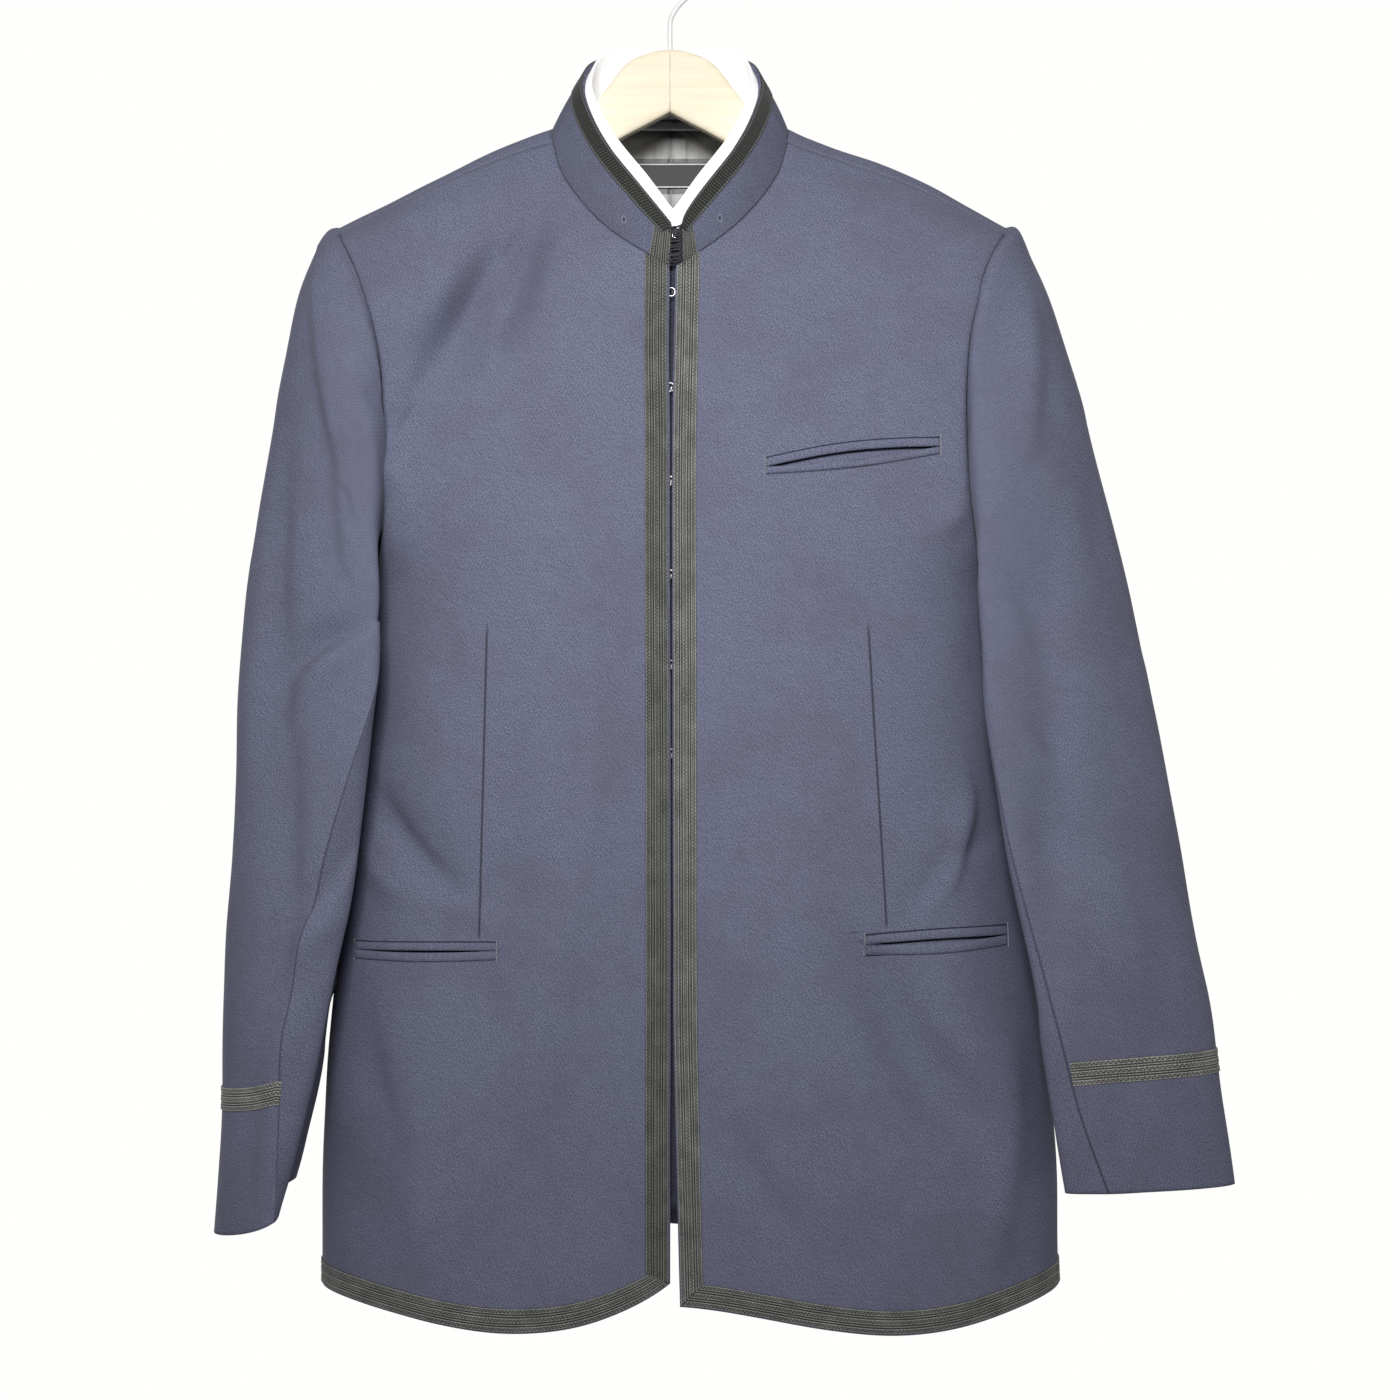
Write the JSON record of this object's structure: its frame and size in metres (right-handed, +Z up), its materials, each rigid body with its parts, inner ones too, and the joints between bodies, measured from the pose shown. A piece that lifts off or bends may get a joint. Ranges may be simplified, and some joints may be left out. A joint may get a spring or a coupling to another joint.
{
  "type": "school uniform jacket on a hanger",
  "caption": "Stand-collar school uniform jacket in navy twill with ribbed braid edges and hook front, hanging on a wooden hanger.",
  "frame": {"origin": "inside top of the hanger's hook, where it bears on the peg or rail that holds it", "axes": "+Z up, -Y out of the jacket's front, +X towards the wearer's left"},
  "size_m": [0.6514, 0.1514, 0.9056],
  "materials": {
    "cloth": "matt slate-navy wool-blend twill",
    "braid": "matt olive-black ribbed braid",
    "liner": "satin white plastic",
    "lining": "dark grey satin lining",
    "label": "plain black woven label with two thin white lines",
    "wood": "clear-varnished pale wood",
    "hook_wire": "white coated wire",
    "fastener": "nickel-plated wire"
  },
  "bodies": {
    "root": {"back_left": "cloth", "back_right": "cloth", "breast_jet_lower": "cloth", "breast_jet_upper": "cloth", "collar": "cloth", "collar_braid": "braid", "collar_end_braid_left": "braid", "collar_end_braid_right": "braid", "collar_liner": "liner", "cuff_band_left": "braid", "cuff_band_right": "braid", "edge_braid_left": "braid", "edge_braid_right": "braid", "eye_1": "fastener", "eye_2": "fastener", "eye_3": "fastener", "eye_4": "fastener", "eye_5": "fastener", "eye_6": "fastener", "eye_collar": "fastener", "front_left": "cloth", "front_right": "cloth", "hanger_hook": "hook_wire", "hanger_wood_left": "wood", "hanger_wood_right": "wood", "hem_braid_back_left": "braid", "hem_braid_back_right": "braid", "hem_braid_left": "braid", "hem_braid_right": "braid", "hip_jet_lower_left": "cloth", "hip_jet_lower_right": "cloth", "hip_jet_upper_left": "cloth", "hip_jet_upper_right": "cloth", "hook_1": "fastener", "hook_2": "fastener", "hook_3": "fastener", "hook_4": "fastener", "hook_5": "fastener", "hook_6": "fastener", "hook_collar": "fastener", "neck_label": "label", "neck_lining": "lining", "sleeve_top_left": "cloth", "sleeve_top_right": "cloth", "sleeve_under_left": "cloth", "sleeve_under_right": "cloth", "underlap": "cloth"}
  },
  "joints": []
}
